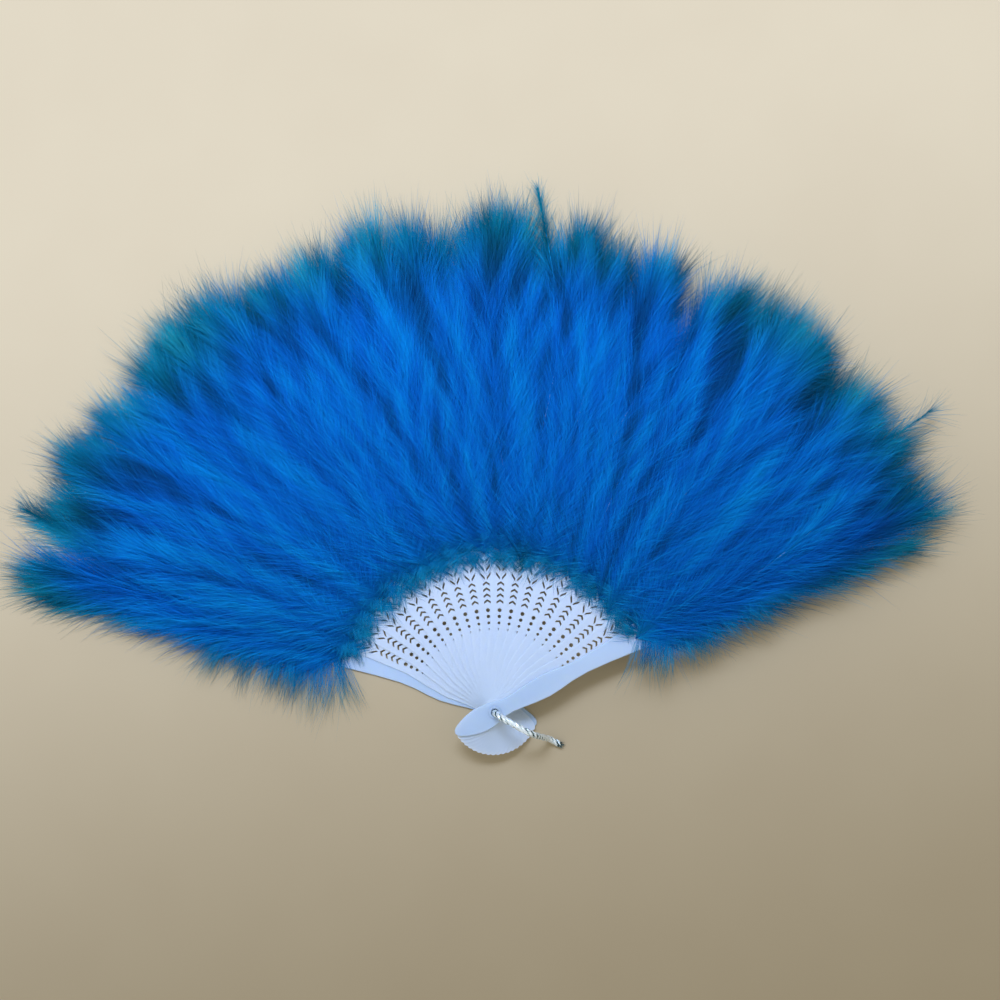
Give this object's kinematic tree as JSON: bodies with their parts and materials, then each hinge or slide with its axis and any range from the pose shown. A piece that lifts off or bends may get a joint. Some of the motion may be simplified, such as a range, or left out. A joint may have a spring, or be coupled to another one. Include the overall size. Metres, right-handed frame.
{
  "type": "feather fan",
  "caption": "Folding hand fan of dyed marabou down on pierced plastic staves, which turn on one rivet from fully spread to closed, with a short silver cord at the pivot.",
  "frame": {"origin": "on the rivet's axis, at the flat back of its head, flush with the rear guard's back", "axes": "+Z along the rivet's axis out of the front of the fan; +Y towards the leaf of the open fan; +X to the right, where the front guard lies"},
  "size_m": [0.4668, 0.2823, 0.029],
  "materials": {
    "stave_plastic": "moulded white plastic, slightly translucent, soft gloss",
    "marabou_down": "dyed marabou down, soft and fluffy, teal towards the tips",
    "cord_foil": "two strands of silver metallic foil thread, twisted"
  },
  "bodies": {
    "rear_stave": {"guard_rear": "stave_plastic", "plume_rear": "marabou_down", "pivot_rivet": "stave_plastic", "cord": "cord_foil"},
    "stave_01": {"stick_01": "stave_plastic", "plume_01": "marabou_down"},
    "stave_02": {"stick_02": "stave_plastic", "plume_02": "marabou_down"},
    "stave_03": {"stick_03": "stave_plastic", "plume_03": "marabou_down"},
    "stave_04": {"stick_04": "stave_plastic", "plume_04": "marabou_down"},
    "stave_05": {"stick_05": "stave_plastic", "plume_05": "marabou_down"},
    "stave_06": {"stick_06": "stave_plastic", "plume_06": "marabou_down"},
    "stave_07": {"stick_07": "stave_plastic", "plume_07": "marabou_down"},
    "stave_08": {"stick_08": "stave_plastic", "plume_08": "marabou_down"},
    "stave_09": {"stick_09": "stave_plastic", "plume_09": "marabou_down"},
    "stave_10": {"stick_10": "stave_plastic", "plume_10": "marabou_down"},
    "stave_11": {"stick_11": "stave_plastic", "plume_11": "marabou_down"},
    "stave_12": {"stick_12": "stave_plastic", "plume_12": "marabou_down"},
    "stave_13": {"stick_13": "stave_plastic", "plume_13": "marabou_down"},
    "stave_14": {"stick_14": "stave_plastic", "plume_14": "marabou_down"},
    "stave_15": {"stick_15": "stave_plastic", "plume_15": "marabou_down"},
    "stave_16": {"stick_16": "stave_plastic", "plume_16": "marabou_down"},
    "stave_17": {"stick_17": "stave_plastic", "plume_17": "marabou_down"},
    "stave_18": {"stick_18": "stave_plastic", "plume_18": "marabou_down"},
    "stave_19": {"stick_19": "stave_plastic", "plume_19": "marabou_down"},
    "front_stave": {"guard_front": "stave_plastic", "plume_front": "marabou_down"}
  },
  "joints": [
    {"name": "fold", "type": "hinge", "parent": "rear_stave", "child": "front_stave", "pos_m": [0, 0, 0], "axis": [0, 0, 1], "range_deg": [0, 132]},
    {"name": "fold_01", "type": "hinge", "parent": "rear_stave", "child": "stave_01", "pos_m": [0, 0, 0], "axis": [0, 0, 1], "range_deg": [0, 6.6]},
    {"name": "fold_02", "type": "hinge", "parent": "rear_stave", "child": "stave_02", "pos_m": [0, 0, 0], "axis": [0, 0, 1], "range_deg": [0, 13.2]},
    {"name": "fold_03", "type": "hinge", "parent": "rear_stave", "child": "stave_03", "pos_m": [0, 0, 0], "axis": [0, 0, 1], "range_deg": [0, 19.8]},
    {"name": "fold_04", "type": "hinge", "parent": "rear_stave", "child": "stave_04", "pos_m": [0, 0, 0], "axis": [0, 0, 1], "range_deg": [0, 26.4]},
    {"name": "fold_05", "type": "hinge", "parent": "rear_stave", "child": "stave_05", "pos_m": [0, 0, 0], "axis": [0, 0, 1], "range_deg": [0, 33]},
    {"name": "fold_06", "type": "hinge", "parent": "rear_stave", "child": "stave_06", "pos_m": [0, 0, 0], "axis": [0, 0, 1], "range_deg": [0, 39.6]},
    {"name": "fold_07", "type": "hinge", "parent": "rear_stave", "child": "stave_07", "pos_m": [0, 0, 0], "axis": [0, 0, 1], "range_deg": [0, 46.2]},
    {"name": "fold_08", "type": "hinge", "parent": "rear_stave", "child": "stave_08", "pos_m": [0, 0, 0], "axis": [0, 0, 1], "range_deg": [0, 52.8]},
    {"name": "fold_09", "type": "hinge", "parent": "rear_stave", "child": "stave_09", "pos_m": [0, 0, 0], "axis": [0, 0, 1], "range_deg": [0, 59.4]},
    {"name": "fold_10", "type": "hinge", "parent": "rear_stave", "child": "stave_10", "pos_m": [0, 0, 0], "axis": [0, 0, 1], "range_deg": [0, 66]},
    {"name": "fold_11", "type": "hinge", "parent": "rear_stave", "child": "stave_11", "pos_m": [0, 0, 0], "axis": [0, 0, 1], "range_deg": [0, 72.6]},
    {"name": "fold_12", "type": "hinge", "parent": "rear_stave", "child": "stave_12", "pos_m": [0, 0, 0], "axis": [0, 0, 1], "range_deg": [0, 79.2]},
    {"name": "fold_13", "type": "hinge", "parent": "rear_stave", "child": "stave_13", "pos_m": [0, 0, 0], "axis": [0, 0, 1], "range_deg": [0, 85.8]},
    {"name": "fold_14", "type": "hinge", "parent": "rear_stave", "child": "stave_14", "pos_m": [0, 0, 0], "axis": [0, 0, 1], "range_deg": [0, 92.4]},
    {"name": "fold_15", "type": "hinge", "parent": "rear_stave", "child": "stave_15", "pos_m": [0, 0, 0], "axis": [0, 0, 1], "range_deg": [0, 99]},
    {"name": "fold_16", "type": "hinge", "parent": "rear_stave", "child": "stave_16", "pos_m": [0, 0, 0], "axis": [0, 0, 1], "range_deg": [0, 105.6]},
    {"name": "fold_17", "type": "hinge", "parent": "rear_stave", "child": "stave_17", "pos_m": [0, 0, 0], "axis": [0, 0, 1], "range_deg": [0, 112.2]},
    {"name": "fold_18", "type": "hinge", "parent": "rear_stave", "child": "stave_18", "pos_m": [0, 0, 0], "axis": [0, 0, 1], "range_deg": [0, 118.8]},
    {"name": "fold_19", "type": "hinge", "parent": "rear_stave", "child": "stave_19", "pos_m": [0, 0, 0], "axis": [0, 0, 1], "range_deg": [0, 125.4]}
  ],
  "couplings": [
    {"joint": "fold_01", "follows": "fold", "ratio": 0.05},
    {"joint": "fold_02", "follows": "fold", "ratio": 0.1},
    {"joint": "fold_03", "follows": "fold", "ratio": 0.15},
    {"joint": "fold_04", "follows": "fold", "ratio": 0.2},
    {"joint": "fold_05", "follows": "fold", "ratio": 0.25},
    {"joint": "fold_06", "follows": "fold", "ratio": 0.3},
    {"joint": "fold_07", "follows": "fold", "ratio": 0.35},
    {"joint": "fold_08", "follows": "fold", "ratio": 0.4},
    {"joint": "fold_09", "follows": "fold", "ratio": 0.45},
    {"joint": "fold_10", "follows": "fold", "ratio": 0.5},
    {"joint": "fold_11", "follows": "fold", "ratio": 0.55},
    {"joint": "fold_12", "follows": "fold", "ratio": 0.6},
    {"joint": "fold_13", "follows": "fold", "ratio": 0.65},
    {"joint": "fold_14", "follows": "fold", "ratio": 0.7},
    {"joint": "fold_15", "follows": "fold", "ratio": 0.75},
    {"joint": "fold_16", "follows": "fold", "ratio": 0.8},
    {"joint": "fold_17", "follows": "fold", "ratio": 0.85},
    {"joint": "fold_18", "follows": "fold", "ratio": 0.9},
    {"joint": "fold_19", "follows": "fold", "ratio": 0.95}
  ]
}
